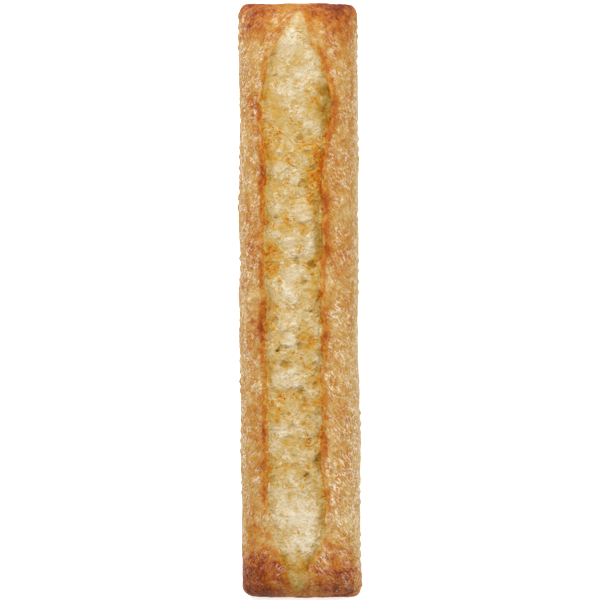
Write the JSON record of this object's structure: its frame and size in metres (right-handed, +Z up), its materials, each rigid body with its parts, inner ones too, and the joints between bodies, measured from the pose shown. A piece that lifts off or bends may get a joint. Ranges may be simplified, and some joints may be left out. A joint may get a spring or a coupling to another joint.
{
  "type": "baguette",
  "caption": "Square-ended half baguette: one flat-bottomed loaf with steep floured sides and a single long cut open along its top, showing torn pale crumb.",
  "frame": {"origin": "under the middle of the loaf, on the flat base that it rests on", "axes": "+Y along the loaf, +X across it, +Z up through the cut"},
  "size_m": [0.058, 0.28, 0.0424],
  "materials": {
    "crust": "matte"
  },
  "bodies": {
    "root": {"loaf": "crust"}
  },
  "joints": []
}
